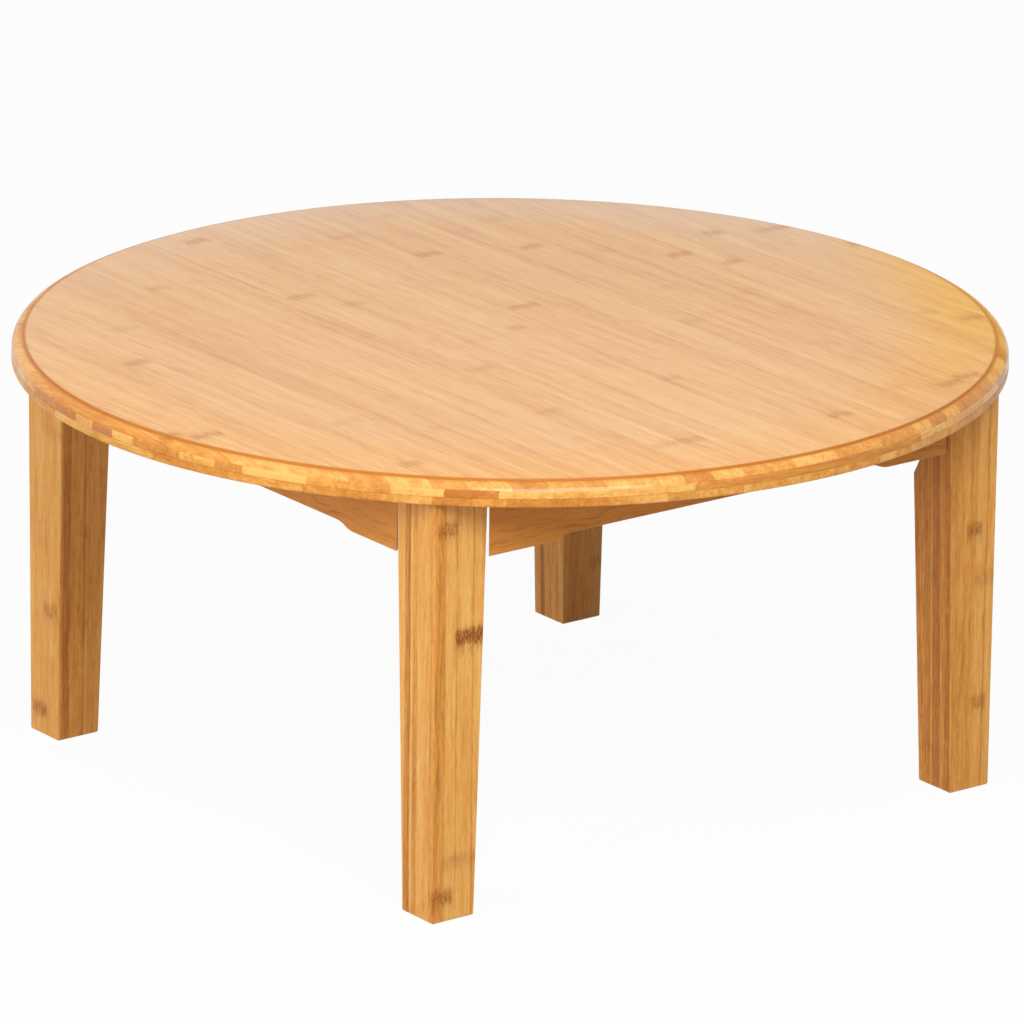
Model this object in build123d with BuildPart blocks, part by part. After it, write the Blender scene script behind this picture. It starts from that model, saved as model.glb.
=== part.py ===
from build123d import *
import os
from math import sqrt

# Round low table (chabudai) of laminated bamboo, with four tapered legs that fold flat under the top.
#
# Frame, in millimetres: +Z is up and the origin is on the floor under the middle of the top.
# +X runs from the front leg to the right leg, +Y from the front leg to the left leg.
# Each leg swings on a steel pin that lies across the diagonal of its corner, so its foot travels
# along that diagonal towards the middle of the table.

# Driving dimensions
top_diameter = 800
table_height = 362
upper_ply = 13
lower_ply = 7
frame_width = 558  # across the outer faces of the legs
leg_top_width = 50
leg_foot_width = 40
apron_thickness = 15
apron_setback = 1.8  # from the outer faces of the legs
apron_end_depth = 53
apron_middle_depth = 48.3
pin_drop = 34  # hinge pin below the underside of the top

# Edge of the top: a flat field, a small step down, a narrow ledge and a quarter round
field_radius = 389.5
step_height = 1.4
rounding = 9
under_edge_bevel = 1.5

# Aprons
arch_start = 147  # from the middle of the apron to the end of its shallower stretch
arch_run = 22
apron_end_clearance = 0.35  # between the mitred end and the corner of the swinging leg

# Legs
bearing_gap = 0.3
swing_gap = 0.5  # between the rounded leg top and the underside while it turns
leg_edge_radius = 1.2
foot_chamfer = 1
slot_width = 12
slot_back = 17.5  # behind the pin
slot_floor = 33  # below the pin
slot_mouth = 25.9  # where the floor starts to run out to the inner edge
run_out = (38, 63.5)  # a point on the sloping run-out: inward of the pin, and below it

# Steel hinge plates, let in flush with the underside of the top
plate_thickness = 3
plate_reach_out = 12
plate_reach_in = 40
plate_half_width = 20
plate_corner_radius = 6
blade_radius = 10.5
bend_radius = 1.5
pin_radius = 4
pin_clearance = 0.05

# Steel channel in the slot of the leg
channel_width = 11.8
channel_wall = 2.5
channel_gap = 6.8
channel_top = 9.5
channel_floor = 31

# Catch spring: a bent leaf whose nose drops into a notch of the hinge plates at either end of the swing
spring_thickness = 1.2
spring_width = 6
spring_foot = 30.5
spring_bend = -17
spring_lift = 2.6
spring_straight = -9
spring_tip = 1
nose_place = (-9.6, -4.9)
nose_radius = 1.4
notch_radius = 1.7

# Screws
plate_screw_radius = 1.75
plate_screw_head = 3.5
plate_screw_length = 14
plate_screw_places = ((0, 13), (30, 13))
channel_screw_radius = 1.75
channel_screw_head = 2.9
channel_screw_length = 15.5
channel_screw_drops = (20.5, 27.5)
apron_screw_radius = 2
apron_screw_head = 4
apron_screw_length = 37
apron_screw_bite = 12
apron_screw_spacing = 210
apron_bore_radius = 5  # the recess from the lower edge up to a screw's head
raised_head_height = 1.8
raised_head_bevel = 0.9
sunk_head_depth = 2
sunk_head_bevel = 1.75
screw_sides = 8  # screws are small and many, so they and their holes are eight-sided

# Worked out
top_radius = top_diameter / 2
underside = table_height - upper_ply - lower_ply
half_frame = frame_width / 2
pin_inset = leg_top_width / sqrt(2)  # from the outer corner of the frame, along the diagonal
pin_height = underside - pin_drop
apron_gap = apron_setback + apron_end_clearance * sqrt(2)
up = Vector(0, 0, 1)
corners = {"front": (-1, -1), "right": (1, -1), "rear": (1, 1), "left": (-1, 1)}


def inward(corner):
    """Horizontal direction from a corner of the frame to the middle of the table."""
    return Vector(-corner[0], -corner[1], 0).normalized()


def pin_centre(corner):
    """Middle of the hinge pin of a corner."""
    outer = Vector(corner[0] * half_frame, corner[1] * half_frame, pin_height)
    return outer + inward(corner) * pin_inset


def fold_plane(corner):
    """Plane in which a leg swings: origin on the pin, X inward, Y up, normal along the pin."""
    return Plane(origin=pin_centre(corner), x_dir=inward(corner), z_dir=inward(corner).cross(up))


def flange_plane(corner):
    """Underside of the top above a pin, facing down: X inward, Y along the pin."""
    return Plane(origin=pin_centre(corner) + up * pin_drop, x_dir=inward(corner), z_dir=-up)


def find_plate_screw_seats():
    """Places of all the hinge plates' screws, facing down: four in the flush flanges of each corner."""
    seats = []
    for corner in corners.values():
        face = flange_plane(corner)
        places = [face.from_local_coords((u, side * w)) for u, w in plate_screw_places for side in (-1, 1)]
        seats += [Plane(origin=place, x_dir=face.x_dir, z_dir=face.z_dir) for place in places]
    return seats


def channel_screw_seats(corner):
    """Places of a channel's two screws on the foot of the catch spring, facing inward."""
    fold = fold_plane(corner)
    seat = channel_wall + spring_thickness - slot_back
    return [
        Plane(origin=fold.from_local_coords((seat, -drop)), x_dir=fold.z_dir, z_dir=inward(corner))
        for drop in channel_screw_drops
    ]


def find_apron_screw_seats():
    """Places of the apron screws' heads, facing down: two on each apron's middle line."""
    line = half_frame - apron_setback - apron_thickness / 2
    height = underside + apron_screw_bite - apron_screw_length
    spots = []
    for along in (-apron_screw_spacing / 2, apron_screw_spacing / 2):
        spots += [(along, -line), (line, along), (along, line), (-line, along)]
    return [Plane(origin=(x, y, height), x_dir=(1, 0, 0), z_dir=-up) for x, y in spots]


def make_screw(radius, length, head_radius, head_height, bevel):
    """A screw along Z, seated at the origin; its head stands above it or, with a negative height, is sunk."""
    with BuildPart() as screw:
        with BuildSketch():
            RegularPolygon(head_radius, screw_sides)
        extrude(amount=head_height)
        ends = screw.faces().filter_by(Axis.Z).sort_by_distance((0, 0, 0))
        chamfer(ends[-1].edges(), bevel)
        with BuildSketch():
            RegularPolygon(radius, screw_sides)
        extrude(amount=-length)
    return screw.part


def make_apron_bore():
    """The straight way up to an apron screw's head, open downwards."""
    with BuildPart() as bore:
        with BuildSketch():
            RegularPolygon(apron_bore_radius, screw_sides)
        extrude(amount=apron_end_depth)
    return bore.part


def cut_screws(screw, seats):
    """Cut the open part by a screw at each of its seats, so that hole and screw fit face to face."""
    with Locations(seats):
        add(screw, mode=Mode.SUBTRACT)


def save(part, name):
    """Label a finished piece and write it as one STEP file."""
    part.label = name
    export_step(part, f"parts/{name}.step")


def draw_flange_outline():
    """Rounded outline of a corner's two flanges together, added to the open sketch on their plane."""
    with Locations(((plate_reach_in - plate_reach_out) / 2, 0)):
        RectangleRounded(plate_reach_in + plate_reach_out, 2 * plate_half_width, plate_corner_radius)


def make_upper_ply():
    """The top board's thick upper ply, with its stepped and rounded edge."""
    with BuildPart() as ply:
        with BuildSketch(Plane.XZ):
            with BuildLine():
                round_start = (top_radius - rounding, table_height - step_height)
                round_end = (top_radius, table_height - step_height - rounding)
                Polyline(
                    round_end,
                    (top_radius, underside + lower_ply),
                    (0, underside + lower_ply),
                    (0, table_height),
                    (field_radius, table_height),
                    (field_radius, table_height - step_height),
                    round_start,
                )
                TangentArc(round_end, round_start, tangent=(0, 1))
            make_face()
        revolve(axis=Axis.Z)
        cut_screws(plate_screw, plate_screw_seats)
        cut_screws(apron_screw, apron_screw_seats)
    return ply.part


def make_lower_ply():
    """The top board's thin lower ply, with the shallow housings for the hinge plates."""
    with BuildPart() as ply:
        with BuildSketch(Plane.XY.offset(underside)):
            Circle(top_radius)
        extrude(amount=lower_ply)
        chamfer(ply.edges().group_by(Axis.Z)[0], under_edge_bevel)
        for corner in corners.values():
            with BuildSketch(flange_plane(corner)):
                draw_flange_outline()
            extrude(amount=-plate_thickness, mode=Mode.SUBTRACT)
        cut_screws(plate_screw, plate_screw_seats)
        cut_screws(apron_screw, apron_screw_seats)
    return ply.part


def make_apron(quarter_turns):
    """An apron between two legs, turned about Z from the one between the front and right legs."""
    face = half_frame - apron_setback
    leg_face = half_frame - leg_top_width
    end = leg_face - apron_gap
    low = underside - apron_end_depth
    high = underside - apron_middle_depth
    arch_end = arch_start + arch_run
    with BuildPart() as apron:
        # Elevation: two deeper ends, joined to the shallower middle by short S-curves
        with BuildSketch(Plane.XZ.offset(face)):
            with BuildLine():
                Line((0, high), (arch_start, high))
                half_way = ((arch_start + arch_end) / 2, (low + high) / 2)
                upper_bend = TangentArc((arch_start, high), half_way, tangent=(1, 0))
                TangentArc(half_way, (arch_end, low), tangent=upper_bend % 1)
                Polyline((arch_end, low), (end, low), (end, underside), (0, underside))
                mirror(about=Plane.YZ)
            make_face()
        extrude(amount=-apron_thickness)
        # Plan: both ends run along the diagonal of their corner, clear of the leg's swing
        with BuildSketch(Plane.XY.offset(underside)):
            with BuildLine():
                inner_end = end - apron_thickness
                Polyline(
                    (-end, -face),
                    (end, -face),
                    (inner_end, apron_thickness - face),
                    (-inner_end, apron_thickness - face),
                    close=True,
                )
            make_face()
        extrude(amount=-apron_end_depth, mode=Mode.INTERSECT)
        # Screw holes, opened out below each head down to the lower edge
        with Locations(apron_screw_seats):
            add(apron_bore, mode=Mode.SUBTRACT)
        cut_screws(apron_screw, apron_screw_seats)
    return apron.part.rotate(Axis.Z, 90 * quarter_turns)


def make_leg(corner):
    """A leg: straight on its outer faces, tapered on its inner ones, slotted for the hinge."""
    with BuildPart() as leg:
        # The same elevation from both sides: the outer edge upright, the inner edge leaning out to the foot
        for view, sign, mode in ((Plane.XZ, corner[0], Mode.ADD), (Plane.YZ, corner[1], Mode.INTERSECT)):
            with BuildSketch(view):
                with BuildLine():
                    Polyline(
                        (sign * half_frame, 0),
                        (sign * half_frame, underside - bearing_gap),
                        (sign * (half_frame - leg_top_width), underside - bearing_gap),
                        (sign * (half_frame - leg_foot_width), 0),
                        close=True,
                    )
                make_face()
            extrude(amount=frame_width, both=True, mode=mode)
        fillet(leg.edges().filter_by(lambda edge: edge.length > underside / 2), leg_edge_radius)
        chamfer(leg.faces().sort_by(Axis.Z)[0].edges(), foot_chamfer)
        # Slot in the inner corner, whose floor runs out to the inner edge
        with BuildSketch(fold_plane(corner)):
            with BuildLine():
                Polyline(
                    (-slot_back, 2 * pin_drop),
                    (-slot_back, -slot_floor),
                    (slot_mouth, -slot_floor),
                    (run_out[0], -run_out[1]),
                    (2 * pin_drop, 2 * pin_drop),
                    close=True,
                )
            make_face()
        extrude(amount=slot_width / 2, both=True, mode=Mode.SUBTRACT)
        # Inner half of the top, rounded about the pin so that it turns under the board
        with BuildSketch(fold_plane(corner)):
            Rectangle(2 * pin_drop, 2 * pin_drop, align=(Align.MIN, Align.MIN))
            Circle(pin_drop - swing_gap, mode=Mode.SUBTRACT)
        extrude(amount=leg_top_width, both=True, mode=Mode.SUBTRACT)
        cut_screws(channel_screw, channel_screw_seats(corner))
    return leg.part


def make_hinge_plate(corner, side):
    """One of two mirrored pressings whose blades hang back to back: a flush flange and a notched blade."""
    fold = fold_plane(corner)
    with BuildPart() as plate:
        with BuildSketch(flange_plane(corner)):
            draw_flange_outline()
            with Locations((0, side * plate_half_width)):
                Rectangle(4 * plate_reach_in, 2 * plate_half_width, mode=Mode.INTERSECT)
        extrude(amount=-plate_thickness)
        with BuildSketch(fold):
            Circle(blade_radius)
            Rectangle(2 * blade_radius, pin_drop, align=(Align.CENTER, Align.MIN))
        extrude(amount=side * plate_thickness)
        # The bend between them, rounded on its inner side
        bend_middle = fold.from_local_coords((0, pin_drop, side * plate_thickness))
        inward_edges = plate.edges().filter_by(Axis(pin_centre(corner), inward(corner)))
        fillet(inward_edges.sort_by_distance(bend_middle)[0], bend_radius)
        with BuildSketch(fold):
            Circle(pin_radius + pin_clearance)
            with Locations(nose_place, (-nose_place[1], nose_place[0])):
                Circle(notch_radius)
        extrude(amount=side * plate_thickness, mode=Mode.SUBTRACT)
        cut_screws(plate_screw, plate_screw_seats)
    return plate.part


def make_channel(corner):
    """The U-shaped steel channel in a leg's slot: a web against its back and a cheek on each side."""
    back = -slot_back
    fold = fold_plane(corner)
    half_way = channel_top / sqrt(2)
    with BuildPart() as channel:
        with BuildSketch(fold):
            with BuildLine():
                ThreePointArc((0, channel_top), (half_way, half_way), (channel_top, 0))
                Polyline(
                    (channel_top, 0),
                    (0, -channel_floor),
                    (back, -channel_floor),
                    (back, channel_top),
                    (0, channel_top),
                )
            make_face()
        extrude(amount=channel_width / 2, both=True)
        web = channel.faces().sort_by(Axis(pin_centre(corner), inward(corner)))[0]
        fillet(web.edges().filter_by(Axis.Z), channel_wall / 2)
        with BuildSketch(fold):
            with Locations((back + channel_wall, 0)):
                Rectangle(2 * slot_back, 4 * channel_floor, align=(Align.MIN, Align.CENTER))
        extrude(amount=channel_gap / 2, both=True, mode=Mode.SUBTRACT)
        with BuildSketch(fold):
            Circle(pin_radius)
        extrude(amount=channel_width, both=True, mode=Mode.SUBTRACT)
        cut_screws(channel_screw, channel_screw_seats(corner))
    return channel.part


def make_catch_spring(corner):
    """The bent leaf on the channel's web, screwed down at its foot, with a rounded nose near its tip."""
    web = channel_wall - slot_back
    raised = web + spring_lift
    with BuildPart() as spring:
        with BuildSketch(fold_plane(corner)):
            with BuildLine():
                Polyline(
                    (web, -spring_foot),
                    (web, spring_bend),
                    (raised - spring_thickness, spring_straight),
                    (raised - spring_thickness, spring_tip),
                    (raised, spring_tip),
                    (raised, spring_straight),
                    (web + spring_thickness, spring_bend),
                    (web + spring_thickness, -spring_foot),
                    close=True,
                )
            make_face()
            with Locations(nose_place):
                Circle(nose_radius)
                Rectangle(nose_place[0] - raised, 2 * nose_radius, align=(Align.MAX, Align.CENTER))
        extrude(amount=spring_width / 2, both=True)
        cut_screws(channel_screw, channel_screw_seats(corner))
    return spring.part


def make_pin(corner):
    """The riveted hinge pin, flush with the outer faces of the channel."""
    with BuildPart() as pin:
        with BuildSketch(fold_plane(corner)):
            Circle(pin_radius)
        extrude(amount=channel_width / 2, both=True)
    return pin.part


def make_screw_group(screw, seats):
    """Copies of one screw, one at each seat."""
    with BuildPart() as group:
        with Locations(seats):
            add(screw)
    return group.part


os.makedirs("parts", exist_ok=True)

plate_screw = make_screw(
    plate_screw_radius, plate_screw_length, plate_screw_head, -sunk_head_depth, sunk_head_bevel
)
plate_screw_seats = find_plate_screw_seats()
channel_screw = make_screw(
    channel_screw_radius, channel_screw_length, channel_screw_head, raised_head_height, raised_head_bevel
)
apron_screw = make_screw(
    apron_screw_radius, apron_screw_length, apron_screw_head, raised_head_height, raised_head_bevel
)
apron_screw_seats = find_apron_screw_seats()
apron_bore = make_apron_bore()

save(make_upper_ply(), "tabletop_upper_ply")
save(make_lower_ply(), "tabletop_lower_ply")
for quarter_turns, name in enumerate(("front_right", "rear_right", "rear_left", "front_left")):
    save(make_apron(quarter_turns), f"{name}_apron")
for name, corner in corners.items():
    save(make_leg(corner), f"{name}_leg")
    save(make_hinge_plate(corner, 1), f"{name}_hinge_plate_a")
    save(make_hinge_plate(corner, -1), f"{name}_hinge_plate_b")
    save(make_channel(corner), f"{name}_hinge_channel")
    save(make_pin(corner), f"{name}_hinge_pin")
    save(make_catch_spring(corner), f"{name}_catch_spring")
    save(make_screw_group(channel_screw, channel_screw_seats(corner)), f"{name}_channel_screws")
save(make_screw_group(plate_screw, plate_screw_seats), "hinge_plate_screws")
save(make_screw_group(apron_screw, apron_screw_seats), "apron_screws")
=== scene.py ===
import math

import bpy
import numpy as np
from bpy.props import FloatProperty, FloatVectorProperty, IntProperty, PointerProperty
from mathutils import Matrix, Vector


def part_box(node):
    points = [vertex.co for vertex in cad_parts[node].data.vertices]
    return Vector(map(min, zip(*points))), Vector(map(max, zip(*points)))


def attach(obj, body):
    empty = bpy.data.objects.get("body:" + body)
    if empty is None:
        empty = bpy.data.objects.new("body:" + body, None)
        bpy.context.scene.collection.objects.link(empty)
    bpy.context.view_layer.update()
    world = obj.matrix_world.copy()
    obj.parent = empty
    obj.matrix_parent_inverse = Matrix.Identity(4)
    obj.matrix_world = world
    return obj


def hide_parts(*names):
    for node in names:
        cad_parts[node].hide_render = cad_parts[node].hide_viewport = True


bl_info = {
    "name": "Folding low table",
    "version": (1, 0, 0),
    "blender": (4, 5, 0),
    "location": "3D View > Sidebar > Low Table",
    "description": "Dresses the packed parts of a round folding low table in bamboo and steel",
    "category": "Object",
}

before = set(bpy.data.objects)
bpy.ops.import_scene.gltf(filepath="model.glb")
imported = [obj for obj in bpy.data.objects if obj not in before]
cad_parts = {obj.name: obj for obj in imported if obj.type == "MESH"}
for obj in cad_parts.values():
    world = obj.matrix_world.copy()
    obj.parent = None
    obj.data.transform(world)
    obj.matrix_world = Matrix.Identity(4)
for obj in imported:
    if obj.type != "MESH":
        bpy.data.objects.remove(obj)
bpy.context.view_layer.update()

MM = 0.001
WHITE = (1, 1, 1, 1)
ROOT = "top_and_aprons"
CORNERS = {"front": (-1, -1), "right": (1, -1), "rear": (1, 1), "left": (-1, 1)}
APRONS = ("front_right_apron", "rear_right_apron", "rear_left_apron", "front_left_apron")
top_low, top_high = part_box("tabletop_upper_ply")
lower_low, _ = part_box("tabletop_lower_ply")
apron_low, apron_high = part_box("front_right_apron")
TOP_RADIUS, TOP_HEIGHT, JOINT_HEIGHT, UNDERSIDE = top_high.x, top_high.z, top_low.z, lower_low.z

# The sinking for a pair of hinge plates: outwards, inwards and sideways from the pin, and the radius of its corners.
HOUSING_OUT, HOUSING_IN, HOUSING_SIDE, HOUSING_CORNER = 12 * MM, 40 * MM, 20 * MM, 6 * MM
# The screws of the hinge plates: their rows inwards from the pin, and their distance to each side.
PLATE_SCREW_ROWS, PLATE_SCREW_SIDE = (0, 30 * MM), 13 * MM
# The screws of a channel: their seat outwards from the pin, and their drops below it.
CHANNEL_SCREW_SEAT, CHANNEL_SCREW_DROPS = 13.8 * MM, (20.5 * MM, 27.5 * MM)
# The screws of an apron: to each side of its middle, their seat below the underside, and the radius of their bores.
APRON_SCREW_SIDE, APRON_SCREW_SEAT, APRON_BORE = 105 * MM, 25 * MM, 5 * MM

# Widths of the strips in mm: in the flat field, in the layers across it, and in a leg from its two sides.
FIELD_STRIP, CORE_STRIP, LEG_STRIP, LEG_LAYER = 21.5, 26.0, 23.0, 6.2
# A leg's strips keep their cells past this distance from its outer faces, which lets its inner faces taper.
LEG_REACH = 38.0
# Knots and single strips of a leg show on its outer face only, down to this depth in mm.
FACE_DEPTH = 6.0
# Legs, in mm from the outer corner. Bands are layers and strips lie on the face: near, far, change of tone. Knots are
# nodes of the culm: height, near, far, strength.
LEG_LOOKS = {
    "front": {
        "bands": [(31, 38.5, -0.5), (27.5, 31, 0.3)],
        "strips": [(0, 11, -0.32), (20.5, 22, -0.3), (36, 37.5, -0.3)],
        "knots": [(230, 20, 51, 1.2), (318, 3, 22, 0.7), (20, 0, 19, 0.7)],
    },
    "right": {
        "bands": [(18.5, 23, -0.28)],
        "strips": [(8, 10, -0.3)],
        "knots": [(222, 14, 30, 0.7), (74, 6, 20, 0.5)],
    },
    "rear": {"bands": [(9, 15, -0.5)], "strips": [], "knots": []},
    "left": {
        "bands": [(3, 10.5, -0.35), (23, 25, -0.5)],
        "strips": [],
        "knots": [(22, 4, 24, 0.6), (110, 20, 40, 0.5)],
    },
}

# Soft boxes: place, width and height in metres, power in watts, and whether lacquer and steel mirror them.
SOFT_BOXES = {
    "front_soft_box": ((-0.936, -2.21, 2.1), 1.7, 1.3, 55.0, True),
    "left_soft_box": ((-3.72, 0.32, 1.80), 4.0, 2.4, 76.0, False),
    "overhead_soft_box": ((-0.3, -0.3, 3.3), 4.0, 4.0, 39.0, True),
}
FLOOR_RADIUS = 9.0


def from_screen(red, green, blue):
    """Linear colour of a screen colour given from 0 to 255."""
    return tuple(
        c / 12.92 if c <= 0.04045 else ((c + 0.055) / 1.055) ** 2.4
        for c in (red / 255, green / 255, blue / 255)
    )


def length(name, description, millimetres):
    """A size that a user can change, shown as a length."""
    return FloatProperty(
        name=name, description=description, default=millimetres * MM, min=0, unit="LENGTH", precision=5
    )


def colour(name, description, red, green, blue):
    """A colour that a user can change."""
    return FloatVectorProperty(
        name=name,
        description=description,
        default=from_screen(red, green, blue),
        size=3,
        min=0,
        max=1,
        subtype="COLOR",
    )


class LowTableSizes(bpy.types.PropertyGroup):
    """Sizes of the surfaces that stand for the plies and the aprons."""

    rim_steps: IntProperty(name="Rim steps", description="Faces round the edge of the top", default=512, min=64)
    field_radius: length("Field radius", "Radius of the flat field of the top", 389.5)
    step_height: length("Step height", "Drop from the field to the ledge", 1.4)
    rounding: length("Rounding", "Radius of the quarter round outside the ledge", 9)
    face_layer: length("Face layer", "Thickness of the face layer, whose strips lie across those of the core", 6.6)
    under_edge: length("Under edge", "Radius of the lower edge of the top", 1.5)
    arch_start: length("Arch start", "From the middle of an apron to the end of its shallow stretch", 147)
    arch_run: length("Arch run", "Length of the S-curve of an apron", 22)
    arch_rise: length("Arch rise", "Rise of the shallow stretch above the apron's ends", 4.7)
    apron_edge: length("Apron edge", "Radius of the lower edges of the aprons", 1.2)
    housing_play: length("Housing play", "Visible line round the hinge plates", 0.25)


class LowTableFinish(bpy.types.PropertyGroup):
    """Colours of the bamboo and the steel."""

    field_pale: colour("Field, pale", "Lightest fibres of the flat field", 247, 194, 126)
    field_honey: colour("Field, honey", "Most of the flat field", 236, 172, 97)
    field_amber: colour("Field, amber", "Darkest fibres of the flat field", 212, 140, 60)
    field_node: colour("Field, node", "Nodes of the culm in the flat field", 172, 92, 36)
    pale: colour("Pale bamboo", "Lightest strips", 248, 192, 104)
    honey: colour("Honey bamboo", "Most strips", 228, 153, 64)
    amber: colour("Amber bamboo", "Darkest strips", 198, 118, 42)
    rosy: colour("Rosy bamboo", "A few reddish strips", 204, 148, 106)
    # Painted shade: the groove colour is laid as a darker orange band on the step round the field, for the shade in the
    # step as well as the step's own darker colour.
    groove: colour("Groove", "The sanded step round the field", 200, 122, 36)
    streak: colour("Streak", "Dark fibres and glue lines", 160, 92, 36)
    node: colour("Node", "Nodes of the culm", 150, 78, 20)
    leg_pale: colour("Leg, pale", "Lightest strips of the legs", 247, 192, 106)
    leg: colour("Leg", "Most strips of the legs", 232, 159, 72)
    leg_dark: colour("Leg, dark", "Darkest strips of the legs", 182, 111, 36)
    apron: colour("Apron bamboo", "Strips of the aprons", 228, 150, 66)
    steel: colour("Plated steel", "Hinge plates, channels and screws", 205, 205, 200)
    spring: colour("Spring steel", "Catch springs", 150, 150, 152)


# ---------------------------------------------------------------- surfaces


def revolve(profile, steps):
    """A profile (r, z) carried round Z: x = r cos t, y = r sin t. It starts and ends on the axis, in two poles."""
    rings = np.asarray(profile[1:-1], float)
    turn = np.linspace(0, 2 * np.pi, steps, endpoint=False)
    body = np.stack(
        [
            np.outer(rings[:, 0], np.cos(turn)),
            np.outer(rings[:, 0], np.sin(turn)),
            np.repeat(rings[:, 1:2], steps, axis=1),
        ],
        axis=-1,
    ).reshape(-1, 3)
    points = np.vstack([body, [[0, 0, profile[0][1]], [0, 0, profile[-1][1]]]])
    j = np.arange(steps)
    k = (j + 1) % steps
    i = np.arange(len(rings) - 1)[:, None] * steps
    quads = np.stack([i + j, i + steps + j, i + steps + k, i + k], axis=-1).reshape(-1, 4)
    last = (len(rings) - 1) * steps
    first_fan = np.stack([np.full(steps, len(body)), j, k], axis=-1)
    last_fan = np.stack([np.full(steps, len(body) + 1), last + k, last + j], axis=-1)
    return points, quads.tolist() + first_fan.tolist() + last_fan.tolist()


def sweep(sections):
    """Closed sections (stations, points, xyz) joined in order into a tube with flat ends."""
    stations, count = sections.shape[:2]
    j = np.arange(count)
    k = (j + 1) % count
    i = np.arange(stations - 1)[:, None] * count
    quads = np.stack([i + j, i + k, i + count + k, i + count + j], axis=-1).reshape(-1, 4)
    ends = [list(range(count))[::-1], list(range((stations - 1) * count, stations * count))]
    return sections.reshape(-1, 3), quads.tolist() + ends


def arc(centre, radius, start, end, count):
    """Points on a circle from one angle to another, in degrees: centre + radius (cos t, sin t)."""
    turn = np.radians(np.linspace(start, end, count))
    return np.stack([centre[0] + radius * np.cos(turn), centre[1] + radius * np.sin(turn)], axis=-1)


def join(shapes):
    """Several (points, faces) as one."""
    points, faces, start = [], [], 0
    for shape_points, shape_faces in shapes:
        points.append(shape_points)
        faces += [[start + v for v in face] for face in shape_faces]
        start += len(shape_points)
    return np.vstack(points), faces


def moved(shape, matrix):
    """A shape carried by a 4 x 4 matrix."""
    m = np.array(matrix)
    return shape[0] @ m[:3, :3].T + m[:3, 3], shape[1]


def make_piece(name, shape, material, sharp_degrees=35):
    """A mesh object at the origin, smooth except at edges sharper than the given angle."""
    mesh = bpy.data.meshes.new(name)
    mesh.from_pydata(shape[0].tolist(), [], shape[1])
    mesh.materials.append(material)
    piece = bpy.data.objects.new(name, mesh)
    bpy.context.scene.collection.objects.link(piece)
    smooth(mesh, sharp_degrees)
    return piece


def smooth(mesh, sharp_degrees):
    """Smooth shading with sharp edges by angle."""
    mesh.polygons.foreach_set("use_smooth", np.ones(len(mesh.polygons), bool))
    mesh.set_sharp_from_angle(angle=math.radians(sharp_degrees))
    mesh.update()


def carve(piece, cutter_shape, sharp_degrees=35):
    """Cuts the closed shapes out of the piece."""
    cutter = make_piece(piece.name + "_cutter", cutter_shape, piece.data.materials[0])
    cut = piece.modifiers.new("carve", "BOOLEAN")
    cut.operation, cut.solver, cut.object = "DIFFERENCE", "EXACT", cutter
    bpy.context.view_layer.update()
    carved = bpy.data.meshes.new_from_object(piece.evaluated_get(bpy.context.evaluated_depsgraph_get()))
    piece.modifiers.clear()
    old = piece.data
    piece.data = carved
    carved.name = piece.name
    bpy.data.meshes.remove(old)
    cutter_mesh = cutter.data
    bpy.data.objects.remove(cutter)
    bpy.data.meshes.remove(cutter_mesh)
    smooth(carved, sharp_degrees)


def stand_in(piece, body, node):
    """Lets a finished piece ride on a body, in the place of a node of the pack."""
    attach(piece, body)
    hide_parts(node)


# ---------------------------------------------------------------- shader maths


class Wire:
    """An output socket of a node, on which arithmetic adds Math nodes."""

    def __init__(self, board, socket):
        self.board, self.socket = board, socket

    def output(self, name):
        """Another output of the same node."""
        return Wire(self.board, self.socket.node.outputs[name])

    def __add__(self, other):
        return self.board.math("ADD", self, other)

    def __sub__(self, other):
        return self.board.math("SUBTRACT", self, other)

    def __rsub__(self, other):
        return self.board.math("SUBTRACT", other, self)

    def __mul__(self, other):
        return self.board.math("MULTIPLY", self, other)

    def __truediv__(self, other):
        return self.board.math("DIVIDE", self, other)

    def __lt__(self, other):
        return self.board.math("LESS_THAN", self, other)

    __radd__ = __add__
    __rmul__ = __mul__


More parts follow.
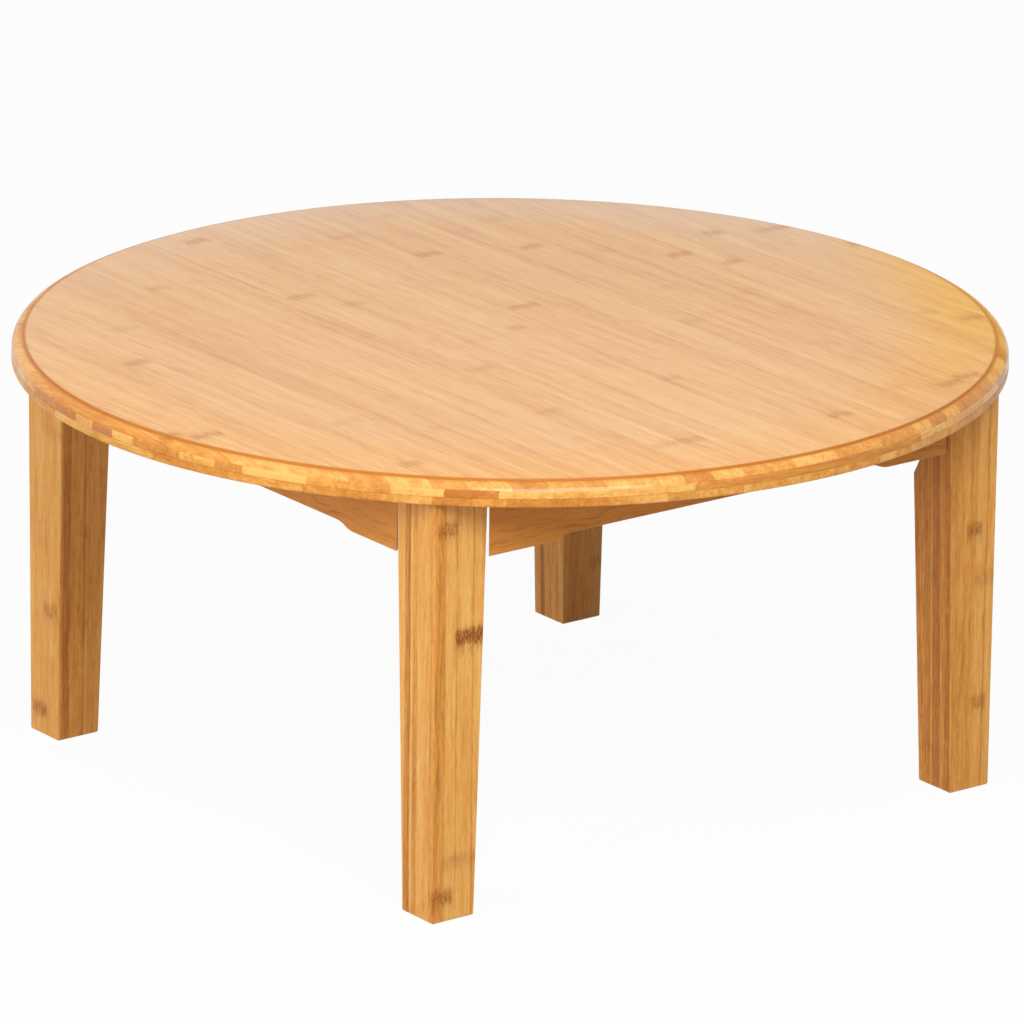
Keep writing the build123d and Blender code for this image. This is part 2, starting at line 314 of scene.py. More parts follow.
class Board:
    """The nodes of one material or world."""

    def __init__(self, tree):
        self.tree = tree
        tree.nodes.clear()

    def add(self, kind, settings=None, values=None, out=0):
        """A node of a type, with its settings, then the values or links of its sockets. Gives one output."""
        node = self.tree.nodes.new(kind)
        for key, value in (settings or {}).items():
            if key == "stops":
                elements = node.color_ramp.elements
                for place, _ in value[2:]:
                    elements.new(place)
                for element, (place, stop) in zip(elements, value):
                    element.position, element.color = place, (*stop, 1)
            else:
                setattr(node, key, value)
        for key, value in (values or {}).items():
            if isinstance(value, Wire):
                self.tree.links.new(value.socket, node.inputs[key])
            else:
                node.inputs[key].default_value = value
        return Wire(self, node.outputs[out]) if len(node.outputs) else None

    def math(self, operation, *values):
        """A Math node on numbers or links."""
        return self.add("ShaderNodeMath", {"operation": operation}, dict(enumerate(values)))

    def clamp(self, value):
        """Value kept between 0 and 1."""
        return self.add("ShaderNodeClamp", None, {"Value": value})

    def rise(self, value, low, high):
        """0 below low and 1 above high, with a smooth rise between them; low may be the larger."""
        return self.add(
            "ShaderNodeMapRange",
            {"interpolation_type": "SMOOTHSTEP"},
            {"Value": value, "From Min": low, "From Max": high},
        )

    def between(self, value, near, far, near_soft, far_soft):
        """1 from near to far and 0 outside, with soft ends."""
        return self.rise(value, near - near_soft, near + near_soft) * self.rise(
            value, far + far_soft, far - far_soft
        )

    def line(self, value, middle, outer, inner):
        """1 within inner of the middle and 0 beyond outer, on both sides."""
        return self.rise(self.math("ABSOLUTE", value - middle), outer, inner)

    def vector(self, x, y, z):
        """Three numbers or links as one vector."""
        return self.add("ShaderNodeCombineXYZ", None, {"X": x, "Y": y, "Z": z})

    def blend(self, factor, first, second):
        """A mix of two colours."""
        values = {0: factor}
        for key, tint in ((6, first), (7, second)):
            values[key] = tint if isinstance(tint, Wire) else (*tint, 1)
        return self.add("ShaderNodeMix", {"data_type": "RGBA"}, values, 2)

    def ramp(self, tone, *stops):
        """The colour of a tone from 0 to 1, from stops (tone, colour)."""
        return self.add("ShaderNodeValToRGB", {"stops": stops}, {0: self.clamp(tone)})

    def noise(self, place, detail=2.0, roughness=0.5):
        """Noise from 0 to 1 at a place."""
        return self.add(
            "ShaderNodeTexNoise", None, {"Vector": place, "Scale": 1.0, "Detail": detail, "Roughness": roughness}
        )

    def chance(self, place):
        """A random number from 0 to 1 for each whole-number place."""
        return self.add("ShaderNodeTexWhiteNoise", {"noise_dimensions": "3D"}, {"Vector": place}, "Value")

    def bump(self, height, strength, distance):
        """A normal tilted by a height, at most over a distance in metres."""
        return self.add("ShaderNodeBump", None, {"Strength": strength, "Distance": distance, "Height": height})

    def millimetres(self):
        """X, Y and Z of the piece in millimetres."""
        place = self.add("ShaderNodeTexCoord", out="Object")
        scaled = self.add("ShaderNodeVectorMath", {"operation": "SCALE"}, {0: place, "Scale": 1000.0})
        parts = self.add("ShaderNodeSeparateXYZ", None, {0: scaled}, "X")
        return parts, parts.output("Y"), parts.output("Z")


def new_material(name):
    """An empty material and its board."""
    material = bpy.data.materials.new(name)
    material.use_nodes = True
    return material, Board(material.node_tree)


def finish_material(board, **sockets):
    """A Principled surface with the given sockets."""
    surface = board.add(
        "ShaderNodeBsdfPrincipled", None, {key.replace("_", " "): value for key, value in sockets.items()}
    )
    board.add("ShaderNodeOutputMaterial", None, {"Surface": surface})


class Culm:
    """Bamboo strips seen as a solid: along the fibres, across the strips and through their thickness, in mm. Past the
    reach, a place belongs to the last strip before it."""

    def __init__(self, board, along, across, depth, width, seed=0.0, wander=0.8, reach=1e4):
        self.board, self.along, self.depth = board, along, depth
        waver = board.noise(board.vector(along / 26, across / 11, depth / 11 + seed), 2.0)
        self.across = across + (waver - 0.5) * wander
        drift = board.noise(board.vector(along / 220, depth / 60, seed), 1.0)
        place = (board.math("MINIMUM", across, reach) + (drift - 0.5) * 1.2) / width + seed
        cell = {"W": place, "Scale": 1.0, "Randomness": 0.7}
        strips = board.add("ShaderNodeTexVoronoi", {"voronoi_dimensions": "1D"}, cell, "Color")
        parts = board.add("ShaderNodeSeparateColor", None, {0: strips}, "Red")
        self.first, self.second, self.third = parts, parts.output("Green"), parts.output("Blue")
        to_edge = {"voronoi_dimensions": "1D", "feature": "DISTANCE_TO_EDGE"}
        self.edge = board.add("ShaderNodeTexVoronoi", to_edge, cell, "Distance") * width

    def fibres(self, fine, coarse, detail, roughness, seed=0.0):
        """Noise drawn out along the fibres: fine mm wide and coarse mm long."""
        shift = self.first * 37 + seed
        return self.board.noise(
            self.board.vector(self.across / fine + shift, self.depth / fine, self.along / coarse), detail, roughness
        )

    def nodes(self, pitch, share):
        """Marks where the culm's nodes cross each strip, at a random place and strength in every pitch."""
        board = self.board
        span = (self.second * 0.5 + 0.75) * pitch
        turn = self.along / span + self.first * 17
        count = board.math("FLOOR", turn)
        chance = board.chance(board.vector(count, self.first * 99, self.third * 77))
        mark = self.node_mark((turn - count - 0.5) * span, count * 3.7 + self.first * 51)
        return mark * board.rise(chance, 1 - share, 1.2)

    def node_mark(self, off, seed):
        """One node, off mm away along the fibres: a ragged band, darkest in short fibres, with streaks on one side."""
        board = self.board
        wave = board.noise(board.vector(self.across / 6.5, self.depth / 6.5, seed), 3.0, 0.7)
        off = off + (wave - 0.5) * 16
        band = board.rise(board.math("ABSOLUTE", off), 9.0, 2.0)
        cloud = board.line(off, 1, 15.0, 2.0)
        dots = board.rise(self.fibres(1.1, 3.4, 3.0, 0.7, 57.0), 0.42, 0.62)
        side = board.rise(off, 22, 3) * board.rise(off, -3, 1)
        streaks = board.rise(self.fibres(1.3, 9.0, 2.0, 0.6, 71.0), 0.5, 0.62)
        return band * 0.28 + band * dots * 0.72 + side * streaks * 0.45 + cloud * 0.2

    def glue_line(self, width, strength):
        """A thin dark line where two strips meet."""
        return self.board.rise(self.edge, width, width * 0.3) * strength


def make_top_bamboo(finish, sizes):
    """Three crossed layers of strips, cut through by the stepped and rounded edge: face, core and back."""
    material, board = new_material("tabletop_bamboo")
    x, y, z = board.millimetres()
    top, joint = TOP_HEIGHT / MM, JOINT_HEIGHT / MM
    face_joint = top - sizes.face_layer / MM
    back = z < joint
    core = (z < face_joint) - back
    along = core * (x - y) + y
    across = core * (y - x) + x
    radius = board.math("SQRT", x * x + y * y)
    # Each layer starts at another place along its row of strips.
    row = across + back * 411 + core * 173
    culm = Culm(board, along, row, z, core * (CORE_STRIP - FIELD_STRIP) + FIELD_STRIP, seed=3.0)
    below = board.rise(z, top - 0.2, top - 1.6)
    broad = culm.fibres(9.0, 200, 2.0, 0.5)
    middle = culm.fibres(2.8, 48, 2.0, 0.55, 11.0)
    fine = culm.fibres(1.1, 20, 3.0, 0.6, 31.0)
    spread = core * 0.45 + below * 0.4 + 0.24
    tone = (culm.third - 0.5) * spread + (broad - 0.5) * 0.9 + (middle - 0.5) * 0.85 + (fine - 0.5) * 1.0 + 0.52
    edge_tint = board.ramp(tone, (0.0, finish.amber), (0.5, finish.honey), (1.0, finish.pale))
    field_tint = board.ramp(tone, (0.0, finish.field_amber), (0.5, finish.field_honey), (1.0, finish.field_pale))
    tint = board.blend(below, field_tint, edge_tint)
    rosy = board.rise(culm.second, 0.72, 0.95) * (core * 0.5 + 0.12)
    tint = board.blend(rosy * 0.8, tint, finish.rosy)
    dark_run = board.rise(culm.fibres(3.6, 60, 2.0, 0.5, 23.0), 0.58, 0.76) * 0.27
    tint = board.blend(dark_run, tint, finish.field_amber)
    dash = board.rise(culm.fibres(1.7, 14, 2.0, 0.6, 41.0), 0.58, 0.76) * 0.2
    tint = board.blend(dash, tint, finish.streak)
    marks = board.clamp(culm.nodes(270.0, 0.8))
    tint = board.blend(marks * 0.55, tint, finish.field_node)
    tint = board.blend(culm.glue_line(0.6, below * 0.12 + 0.05), tint, finish.streak)
    field = sizes.field_radius / MM
    # Painted shade: a darker orange band at the step round the field and on the ledge just outside it, for the shade in
    # the step as well as the step's own darker colour.
    step_shade = board.rise(radius, field - 2.0, field - 0.4) * board.rise(radius, field + 4.0, field + 1.2)
    step_shade = step_shade * board.rise(z, top - 6, top - 4)
    tint = board.blend(step_shade * 0.9, tint, finish.groove)
    ply_seam = board.line(z, joint, 0.4, 0.1)
    layer_seam = board.line(z, face_joint, 0.3, 0.1)
    tint = board.blend(ply_seam * 0.3 + layer_seam * 0.12, tint, finish.streak)
    rounding = board.rise(z, top - 1.5, top - 3.0) * board.rise(z, top - 14, top - 10)
    finish_material(
        board,
        Base_Color=tint,
        Roughness=0.42 + (middle - 0.5) * 0.12,
        Specular_IOR_Level=0.1,
        Coat_Weight=board.clamp(marks * -0.3 + rounding * 0.37 - below * 0.42 + 0.62),
        Coat_Roughness=0.12,
        Normal=board.bump(middle + fine, 0.1, 0.0004),
    )
    return material


def make_leg_bamboo(finish, corner, seed, turned, bands, strips, knots):
    """A leg: upright strips, with their broad faces seen from one side and their edges from the other. Bands, strips
    and knots are measured from the outer corner."""
    material, board = new_material(f"{corner}_leg_bamboo")
    x, y, z = board.millimetres()
    low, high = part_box(f"{corner}_leg")
    from_x = x - low.x / MM if low.x < 0 else high.x / MM - x
    from_y = y - low.y / MM if low.y < 0 else high.y / MM - y
    across, depth = (from_y, from_x) if turned else (from_x, from_y)
    layer = Culm(board, z, depth, across, LEG_LAYER, seed=seed + 0.4, reach=LEG_REACH)
    # Each layer has its strips at another place.
    shift = layer.first * 60
    layer_depth = depth + layer.second * 40
    culm = Culm(board, z, across + shift, layer_depth, LEG_STRIP, seed=seed, wander=5.0, reach=shift + LEG_REACH)
    broad = culm.fibres(7.0, 160, 2.0, 0.5)
    middle = culm.fibres(2.4, 45, 2.0, 0.55, 11.0)
    fine = culm.fibres(1.3, 9, 3.0, 0.6, 31.0)
    tone = (
        (culm.third - 0.5) * 0.4
        + (layer.third - 0.5) * 0.35
        + (broad - 0.5) * 0.6
        + (middle - 0.5) * 0.95
        + (fine - 0.5) * 0.7
        + 0.5
    )
    for near, far, change in bands:
        tone = tone + board.between(depth, near, far, 0.7, 0.7) * change
    for near, far, change in strips:
        tone = tone + board.between(across, near, far, 0.5, 0.7) * (depth < FACE_DEPTH) * change
    tint = board.ramp(tone, (0.0, finish.leg_dark), (0.5, finish.leg), (1.0, finish.leg_pale))
    dash = board.rise(culm.fibres(1.1, 14, 2.0, 0.6, 41.0), 0.57, 0.74) * 0.3
    tint = board.blend(dash, tint, finish.streak)
    marks = culm.nodes(260.0, 0.5) * 0.5
    for height, near, far, strength in knots:
        within = board.between(across, near, far, 1.5, 1.5)
        marks = marks + culm.node_mark(height - z, seed + height) * within * (depth < FACE_DEPTH) * strength
    tint = board.blend(board.clamp(marks), tint, finish.node)
    line = layer.glue_line(0.45, 0.14) + culm.glue_line(0.45, 0.1)
    tint = board.blend(board.clamp(line), tint, finish.streak)
    finish_material(
        board,
        Base_Color=tint,
        Roughness=0.45 + (fine - 0.5) * 0.12,
        Specular_IOR_Level=0.1,
        Coat_Weight=0.25,
        Coat_Roughness=0.2,
        Normal=board.bump(fine + dash * 0.5, 0.15, 0.0004),
    )
    return material


def make_apron_bamboo(name, finish, along_y):
    """An apron: strips on edge along its length, with a coarse wavy figure."""
    material, board = new_material(name)
    x, y, z = board.millimetres()
    along, depth = (y, x) if along_y else (x, y)
    culm = Culm(board, along, z, depth, 8.0, seed=5.0)
    wave = (board.noise(board.vector(along / 34, z / 26, 2.0), 2.0) - 0.5) * 9
    figure = board.noise(board.vector(along / 42, (z + wave) / 2.4, depth / 8), 3.0, 0.6)
    fine = board.noise(board.vector(along / 22, (z + wave) / 1.1, depth / 2), 3.0, 0.6)
    tone = (culm.third - 0.5) * 0.15 + (figure - 0.5) * 1.3 + (fine - 0.5) * 1.0 + 0.55
    tint = board.ramp(tone, (0.0, finish.streak), (0.45, finish.apron), (1.0, finish.honey))
    tint = board.blend(board.rise(fine, 0.55, 0.70) * 0.5, tint, finish.streak)
    finish_material(
        board,
        Base_Color=tint,
        Roughness=0.48 + (fine - 0.5) * 0.12,
        Specular_IOR_Level=0.1,
        Coat_Weight=0.12,
        Coat_Roughness=0.25,
        Normal=board.bump(figure + fine, 0.2, 0.0005),
    )
    return material


def make_steel(name, tint, roughness, grain):
    """Bright plated or drawn steel, with fine rolling lines along one direction and soft clouding."""
    material, board = new_material(name)
    x, y, z = board.millimetres()
    lines = board.noise(board.vector(x / grain[0], y / grain[1], z / grain[2]), 3.0, 0.6)
    cloud = board.noise(board.vector(x / 9, y / 9, z / 9), 3.0, 0.55)
    finish_material(
        board,
        Base_Color=board.blend(cloud * 0.5 + lines * 0.3, [c * 0.72 for c in tint], tint),
        Metallic=1.0,
        Roughness=(lines - 0.5) * 0.2 + (cloud - 0.5) * 0.15 + roughness,
        Normal=board.bump(lines, 0.12, 0.0002),
    )
    return material


# ---------------------------------------------------------------- pieces


def corner_axes(corner):
    """The middle of a corner's hinge pin, and the directions inwards along the diagonal and sideways from it."""
    sign_x, sign_y = CORNERS[corner]
    inward = Vector((-sign_x, -sign_y, 0)).normalized()
    pin_low, pin_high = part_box(f"{corner}_hinge_pin")
    return (pin_low + pin_high) / 2, inward, Vector((-inward.y, inward.x, 0))


class LOWTABLE_OT_top(bpy.types.Operator):
    """Make the two plies of the top, with the stepped and rounded edge"""

    bl_idname = "lowtable.top"
    bl_label = "Make the top"

    def execute(self, context):
        sizes, finish = context.scene.low_table_sizes, context.scene.low_table_finish
        bamboo = make_top_bamboo(finish, sizes)
        ease, groove = 0.35 * MM, 0.3 * MM
        field, rounding, under = sizes.field_radius, sizes.rounding, sizes.under_edge
        step_foot = TOP_HEIGHT - sizes.step_height
        upper = np.vstack(
            [
                [(0, TOP_HEIGHT), (field * 0.4, TOP_HEIGHT), (field * 0.75, TOP_HEIGHT)],
                arc((field - ease, TOP_HEIGHT - ease), ease, 90, 0, 4),
                arc((field + ease, step_foot + ease * 0.8), ease, 180, 270, 4),
                arc((TOP_RADIUS - rounding, step_foot - rounding), rounding, 90, 0, 24),
                [(TOP_RADIUS, JOINT_HEIGHT + groove), (TOP_RADIUS - groove, JOINT_HEIGHT), (0, JOINT_HEIGHT)],
            ]
        )
        lower = np.vstack(
            [
                [(0, JOINT_HEIGHT), (TOP_RADIUS - groove, JOINT_HEIGHT), (TOP_RADIUS, JOINT_HEIGHT - groove)],
                arc((TOP_RADIUS - under, UNDERSIDE + under), under, 0, -90, 7),
                [(380 * MM, UNDERSIDE), (0, UNDERSIDE)],
            ]
        )
        for name, profile in (("upper", upper), ("lower", lower)):
            ply = make_piece(f"top_{name}_ply", revolve(profile, sizes.rim_steps), bamboo)
            if name == "lower":
                carve(ply, join([self.housing(corner, sizes.housing_play) for corner in CORNERS]))
            stand_in(ply, ROOT, f"tabletop_{name}_ply")
        return {"FINISHED"}

    @staticmethod
    def housing(corner, play):
        """The shallow sinking for a pair of hinge plates: a rounded rectangle round them, carried down."""
        pin, inward, sideways = corner_axes(corner)
        ceiling = max(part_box(f"{corner}_hinge_plate_{side}")[1].z for side in "ab")
        low_u, high_u = -HOUSING_OUT - play, HOUSING_IN + play
        half, radius = HOUSING_SIDE + play, HOUSING_CORNER + play
        corners = [
            ((high_u - radius, half - radius), 0),
            ((low_u + radius, half - radius), 90),
            ((low_u + radius, radius - half), 180),
            ((high_u - radius, radius - half), 270),
        ]
        outline = np.vstack([arc(place, radius, start, start + 90, 8) for place, start in corners])
        plan = np.outer(outline[:, 0], inward) + np.outer(outline[:, 1], sideways) + np.array(pin)
        levels = [UNDERSIDE - 5 * MM, ceiling]
        sections = np.stack([np.column_stack([plan[:, :2], np.full(len(plan), level)]) for level in levels])
        return sweep(sections)


class LOWTABLE_OT_aprons(bpy.types.Operator):
    """Make the four aprons, with their S-curved lower edges, mitred ends and screw bores"""

    bl_idname = "lowtable.aprons"
    bl_label = "Make the aprons"

    def execute(self, context):
        sizes, finish = context.scene.low_table_sizes, context.scene.low_table_finish
        materials = [
            make_apron_bamboo("apron_bamboo_along_x", finish, False),
            make_apron_bamboo("apron_bamboo_along_y", finish, True),
        ]
        outer, inner, end, low = apron_low.y, apron_high.y, apron_high.x, apron_low.z
        seat, mouth = UNDERSIDE - APRON_SCREW_SEAT, low - 10 * MM
        bore = revolve([(0, seat), (APRON_BORE, seat), (APRON_BORE, mouth), (0, mouth)], 40)
        places = (-APRON_SCREW_SIDE, APRON_SCREW_SIDE)
        bores = join([moved(bore, Matrix.Translation((x, (outer + inner) / 2, 0))) for x in places])
        for turns, name in enumerate(APRONS):
            turn = Matrix.Rotation(math.pi / 2 * turns, 4, "Z")
            shape = moved(self.surface(sizes, outer, inner, end, low), turn)
            piece = make_piece(name + "_rail", shape, materials[turns % 2], 25)
            carve(piece, moved(bores, turn), 25)
            stand_in(piece, ROOT, name)
        return {"FINISHED"}

    @staticmethod
    def surface(sizes, outer, inner, end, low):
        """A section carried along X. Its lower side is z = low at the ends and low + rise in the middle, joined by two
        arcs of radius R = (run^2 + rise^2) / (4 rise) each. The last stations lean back by 45 degrees for the mitre."""
        start, run, rise = sizes.arch_start, sizes.arch_run, sizes.arch_rise
        bend = (run**2 + rise**2) / (4 * rise)
        s_curve = np.linspace(start, start + run, 25)
        flat = np.concatenate([np.linspace(0, start, 8)[:-1], s_curve])
        from_start, to_end = np.clip(flat - start, 0, run), np.clip(start + run - flat, 0, run)
        edge = np.where(
            flat < start + run / 2,
            low + rise - (bend - np.sqrt(bend**2 - from_start**2)),
            low + bend - np.sqrt(bend**2 - to_end**2),
        )
        edge = np.where(flat <= start, low + rise, edge)
        radius = sizes.apron_edge
        section = np.vstack(
            [
                [(outer, UNDERSIDE)],
                arc((outer + radius, radius), radius, 180, 270, 5),
                arc((inner - radius, radius), radius, 270, 360, 5),
                [(inner, UNDERSIDE)],
            ]
        )
        across, height = section[:, 0], section[:, 1]
        hangs = np.arange(len(section)) % (len(section) - 1) != 0
        last = flat[-1]
        mitre = np.linspace(0, 1, 5)[1:]
        x = np.concatenate(
            [
                np.repeat(flat[:, None], len(section), axis=1),
                last + (end - (across - outer)[None, :] - last) * mitre[:, None],
            ]
        )
        bottom = np.concatenate([edge, np.full(len(mitre), low)])[:, None]
        z = np.where(hangs[None, :], bottom + height[None, :], UNDERSIDE)
        y = np.repeat(across[None, :], len(x), axis=0)
        half = np.stack([x, y, z], axis=-1)
        mirrored = half[:0:-1] * np.array([-1, 1, 1])
        return sweep(np.concatenate([mirrored, half]))


class LOWTABLE_OT_legs(bpy.types.Operator):
    """Finish the four legs in upright bamboo strips"""

    bl_idname = "lowtable.legs"
    bl_label = "Finish the legs"

    def execute(self, context):
        finish = context.scene.low_table_finish
        for number, (corner, look) in enumerate(LEG_LOOKS.items()):
            bamboo = make_leg_bamboo(finish, corner, 2.0 + number * 6.3, corner == "left", **look)
            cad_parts[f"{corner}_leg"].material_slots[0].material = bamboo
        return {"FINISHED"}


class LOWTABLE_OT_hinges(bpy.types.Operator):
    """Finish the hinge plates, channels, pins and catch springs in steel"""

    bl_idname = "lowtable.hinges"
    bl_label = "Finish the hinges"

    def execute(self, context):
        finish = context.scene.low_table_finish
        plated = make_steel("plated_steel", finish.steel, 0.34, (1.2, 1.2, 30))
        drawn = make_steel("pin_steel", finish.steel, 0.26, (0.5, 0.5, 6))
        spring = make_steel("spring_steel", finish.spring, 0.38, (2.0, 2.0, 14))
        finishes = {
            "hinge_plate_a": plated,
            "hinge_plate_b": plated,
            "hinge_channel": plated,
            "hinge_pin": drawn,
            "catch_spring": spring,
        }
        for corner in CORNERS:
            for part, steel in finishes.items():
                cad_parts[f"{corner}_{part}"].material_slots[0].material = steel
        return {"FINISHED"}


class LOWTABLE_OT_screws(bpy.types.Operator):
    """Make the screws, with their cross recesses"""

    bl_idname = "lowtable.screws"
    bl_label = "Make the screws"

    def execute(self, context):
        steel = make_steel("screw_steel", context.scene.low_table_finish.steel, 0.3, (0.8, 0.8, 0.8))
        sunk = self.screw(radius=1.75, shank=14, head=3.5, edge=0.12, dome=0.1, sunk=True)
        domed = self.screw(radius=1.75, shank=15.5, head=2.9, edge=1.0, dome=0.8)
        long = self.screw(radius=2, shank=37, head=4, edge=1.0, dome=0.8)
        plate_screws, down = [], Vector((0, 0, -1))
        for corner in CORNERS:
            pin, inward, sideways = corner_axes(corner)
            under_pin = Vector((pin.x, pin.y, UNDERSIDE))
            for u in PLATE_SCREW_ROWS:
                for w in (-PLATE_SCREW_SIDE, PLATE_SCREW_SIDE):
                    seat = under_pin + inward * u + sideways * w
                    plate_screws.append(self.placed(sunk, seat, down, 20 + 70 * u / MM + 9 * w / MM))
            channel_screws = [
                self.placed(
                    domed, pin - inward * CHANNEL_SCREW_SEAT - Vector((0, 0, drop)), inward, drop / MM * 31
                )
                for drop in CHANNEL_SCREW_DROPS
            ]
            pair = make_piece(f"{corner}_channel_screw_pair", join(channel_screws), steel, 30)
            stand_in(pair, f"{corner}_folding_leg", f"{corner}_channel_screws")
        group = make_piece("hinge_plate_screw_set", join(plate_screws), steel, 30)
        stand_in(group, ROOT, "hinge_plate_screws")
        line = abs(apron_low.y + apron_high.y) / 2
        spots = []
        for a in (-APRON_SCREW_SIDE, APRON_SCREW_SIDE):
            spots += [(a, -line), (line, a), (a, line), (-line, a)]
        apron_screws = [
            self.placed(long, Vector((x, y, UNDERSIDE - APRON_SCREW_SEAT)), down, 40 + number * 27)
            for number, (x, y) in enumerate(spots)
        ]
        group = make_piece("apron_screw_set", join(apron_screws), steel, 30)
        stand_in(group, ROOT, "apron_screws")
        return {"FINISHED"}

    @staticmethod
    def screw(radius, shank, head, edge, dome, sunk=False):
        """A profile in mm carried round Z: a head with height edge + dome (1 - (r/head)^2), less the depth of two
        crossed slots where they lie, then the seat or the countersink, the shank and a point."""
        radius, shank, head, edge, dome = (size * MM for size in (radius, shank, head, edge, dome))
        reach = np.linspace(0, head, 15)
        top = np.stack([reach, edge + dome * (1 - (reach / head) ** 2)], axis=-1)
        seat = -1.75 * MM if sunk else 0.0
        rest = [
            (head, 0.0),
            (radius, seat),
            (radius, -shank + 3 * MM),
            (radius * 0.3, -shank + 0.4 * MM),
            (0, -shank),
        ]
        points, faces = revolve(np.vstack([top, rest]), 56)
        arm, half_width, soft = head * 0.58, head * 0.13, head * 0.07
        across, along = np.abs(points[:, 0]), np.abs(points[:, 1])
        on_head = points[:, 2] > edge * 0.5

        def slot(narrow, wide):
            side = np.clip((half_width + soft - narrow) / soft, 0, 1)
            return side * np.clip((arm + soft - wide) / (soft * 3), 0, 1)

        cross = np.maximum(slot(across, along), slot(along, across))
        points[:, 2] -= np.where(on_head, cross * head * 0.35, 0)
        return points, faces

    @staticmethod
    def placed(shape, seat, axis, degrees):
        """A screw turned about itself, with its axis along the given one and its seat at a place."""
        turn = axis.to_track_quat("Z", "Y").to_matrix().to_4x4() @ Matrix.Rotation(math.radians(degrees), 4, "Z")
        return moved(shape, Matrix.Translation(seat) @ turn)


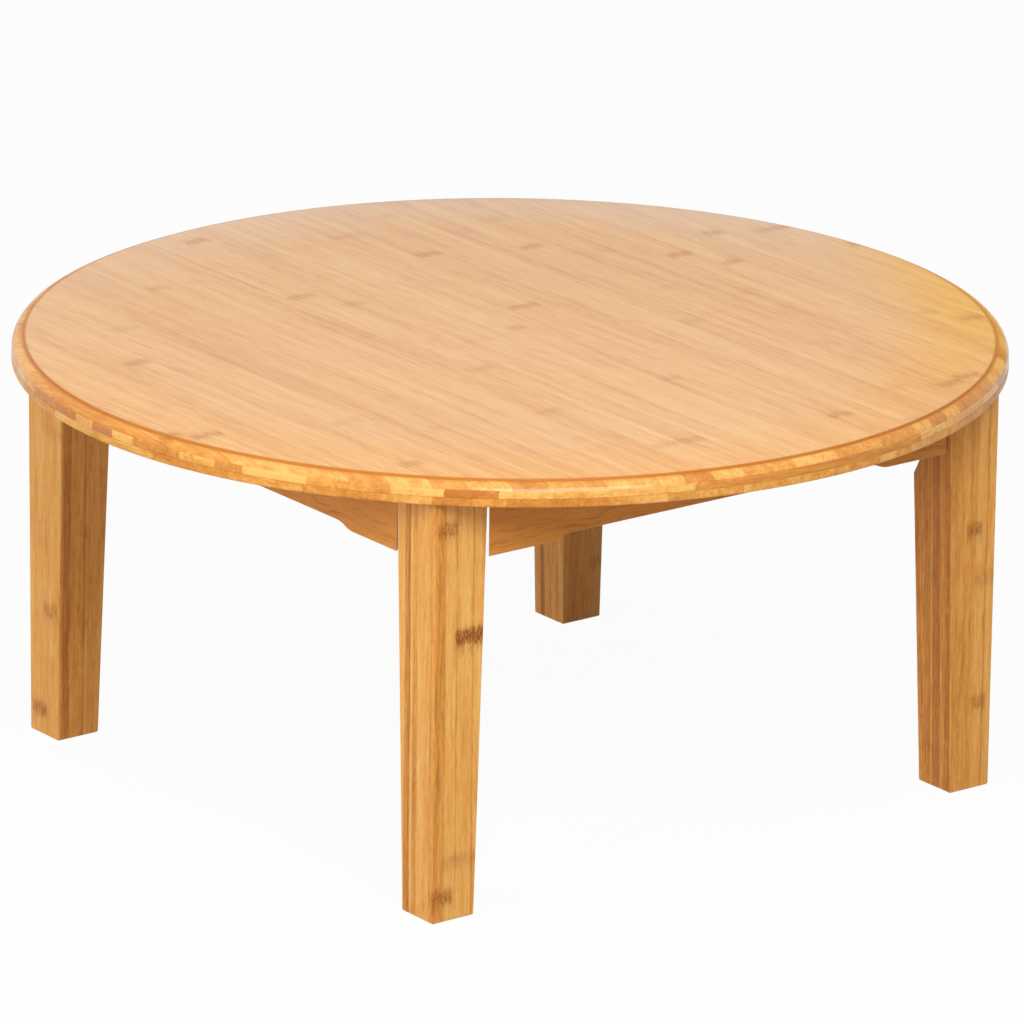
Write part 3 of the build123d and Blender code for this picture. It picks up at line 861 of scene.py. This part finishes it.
class LOWTABLE_OT_stage(bpy.types.Operator):
    """Make the floor, the lights, the world and the camera"""

    bl_idname = "lowtable.stage"
    bl_label = "Make the stage"

    def execute(self, context):
        scene = context.scene
        self.floor()
        self.warm_card()
        self.world(scene)
        self.lights(scene)
        self.camera(scene)
        scene.view_settings.view_transform = "Standard"
        return {"FINISHED"}

    @staticmethod
    def seen(board):
        """1 for rays from the camera, mirror reflections and glass."""
        path = board.add("ShaderNodeLightPath", out="Is Camera Ray")
        mirrored = board.math("MAXIMUM", path, path.output("Is Glossy Ray"))
        return board.math("MAXIMUM", mirrored, path.output("Is Transmission Ray"))

    def floor(self):
        """A wide pale disc that keeps a little of the object's shadow, and is clear when seen from below."""
        material, board = new_material("pale_floor")
        seen = self.seen(board)
        matt = board.add("ShaderNodeBsdfDiffuse", None, {"Color": board.blend(seen, (0.6,) * 3, (0.9,) * 3)})
        glow = board.add("ShaderNodeEmission", None, {"Color": WHITE, "Strength": 1.0})
        surface = board.add("ShaderNodeMixShader", None, {0: seen * 0.955, 1: matt, 2: glow})
        below = board.add("ShaderNodeNewGeometry", None, None, "Backfacing")
        clear = board.add("ShaderNodeBsdfTransparent")
        floor = board.add("ShaderNodeMixShader", None, {0: below, 1: surface, 2: clear})
        board.add("ShaderNodeOutputMaterial", None, {"Surface": floor})
        rim = arc((0, 0), FLOOR_RADIUS, 0, 360, 97)[:-1]
        disc = np.column_stack([rim, np.zeros(len(rim))]), [list(range(len(rim)))]
        floor = make_piece("floor", disc, material)

    @staticmethod
    def warm_card():
        """A warm card behind on the right, seen only in the lacquer's reflection, fading out at its near edge."""
        material, board = new_material("warm_card")
        behind, right = np.array([0.601, 0.799]), np.array([0.799, -0.601])
        distance, near, far, low, high = 4.0, 0.44, 2.9, 0.3, 2.5
        x, y, z = board.millimetres()
        side = (x * float(right[0]) + y * float(right[1])) / 1000
        glow = board.add("ShaderNodeEmission", None, {"Color": (1.0, 0.68, 0.16, 1), "Strength": 1.2})
        clear = board.add("ShaderNodeBsdfTransparent")
        fade = board.rise(side, near, 0.80) * board.rise(z, 2500, 1300)
        card = board.add("ShaderNodeMixShader", None, {0: fade, 1: clear, 2: glow})
        board.add("ShaderNodeOutputMaterial", None, {"Surface": card})
        corners = [(near, low), (far, low), (far, high), (near, high)]
        points = np.array([[*(behind * distance + right * away), height] for away, height in corners])
        card = make_piece("warm_card", (points, [[0, 1, 2, 3]]), material)
        card.visible_camera = card.visible_diffuse = card.visible_transmission = card.visible_shadow = False

    def world(self, scene):
        """White wherever it is seen, and a low even light on everything else."""
        world = bpy.data.worlds.new("white_surround")
        world.use_nodes = True
        scene.world = world
        board = Board(world.node_tree)
        strength = self.seen(board) * 0.85 + 0.15
        glow = board.add("ShaderNodeBackground", None, {"Color": WHITE, "Strength": strength})
        board.add("ShaderNodeOutputWorld", None, {"Surface": glow})

    @staticmethod
    def lights(scene):
        """A soft box in front, a broad low one on the left and a wide faint one overhead, all aimed at the table."""
        for name, (place, wide, high, power, mirrored) in SOFT_BOXES.items():
            data = bpy.data.lights.new(name, "AREA")
            data.shape, data.size, data.size_y, data.energy = "RECTANGLE", wide, high, power
            light = bpy.data.objects.new(name, data)
            light.location = place
            light.visible_glossy = mirrored
            aim = Vector((0, 0, 0.3)) - Vector(place)
            light.rotation_euler = aim.to_track_quat("-Z", "Y").to_euler()
            scene.collection.objects.link(light)

    @staticmethod
    def camera(scene):
        """A long lens from the front corner, a little above the top."""
        distance, elevation, turn, roll = 6.8202, 0.29258, 0.64464, 0.01103
        aim_right, aim_up, focal_pixels = 2.903 * MM, -152.890 * MM, 8495.8
        level_back = math.cos(elevation)
        back = Vector((-math.sin(turn) * level_back, -math.cos(turn) * level_back, math.sin(elevation)))
        place = back * distance + Vector((0, 0, TOP_HEIGHT))
        aim = Vector((aim_right * math.cos(turn), -aim_right * math.sin(turn), aim_up + TOP_HEIGHT))
        forward = (aim - place).normalized()
        level = forward.cross(Vector((0, 0, 1))).normalized()
        above = level.cross(forward)
        right = level * math.cos(roll) + above * math.sin(roll)
        up = above * math.cos(roll) - level * math.sin(roll)
        data = bpy.data.cameras.new("camera")
        data.sensor_width = 36
        data.lens = focal_pixels / 1024 * 36
        camera = bpy.data.objects.new("camera", data)
        camera.matrix_world = Matrix.Translation(place) @ Matrix((right, up, -forward)).transposed().to_4x4()
        scene.collection.objects.link(camera)
        scene.camera = camera


class LOWTABLE_PT_sidebar(bpy.types.Panel):
    """Lists the pieces, sizes and colours of the low table"""

    bl_idname = "LOWTABLE_PT_sidebar"
    bl_label = "Low Table"
    bl_space_type = "VIEW_3D"
    bl_region_type = "UI"
    bl_category = "Low Table"

    def draw(self, context):
        for operator in OPERATORS:
            self.layout.operator(operator.bl_idname)
        for group in (context.scene.low_table_sizes, context.scene.low_table_finish):
            box = self.layout.box()
            for name in group.__annotations__:
                box.prop(group, name)


OPERATORS = (
    LOWTABLE_OT_top,
    LOWTABLE_OT_aprons,
    LOWTABLE_OT_legs,
    LOWTABLE_OT_hinges,
    LOWTABLE_OT_screws,
    LOWTABLE_OT_stage,
)
CLASSES = (LowTableSizes, LowTableFinish, *OPERATORS, LOWTABLE_PT_sidebar)


def register():
    for cls in CLASSES:
        bpy.utils.register_class(cls)
    bpy.types.Scene.low_table_sizes = PointerProperty(type=LowTableSizes)
    bpy.types.Scene.low_table_finish = PointerProperty(type=LowTableFinish)


def unregister():
    del bpy.types.Scene.low_table_sizes
    del bpy.types.Scene.low_table_finish
    for cls in reversed(CLASSES):
        bpy.utils.unregister_class(cls)


def main():
    """Registers the add-on, then makes every piece in order."""
    register()
    bpy.ops.lowtable.top()
    bpy.ops.lowtable.aprons()
    bpy.ops.lowtable.legs()
    bpy.ops.lowtable.hinges()
    bpy.ops.lowtable.screws()
    bpy.ops.lowtable.stage()


if __name__ == "__main__":
    main()
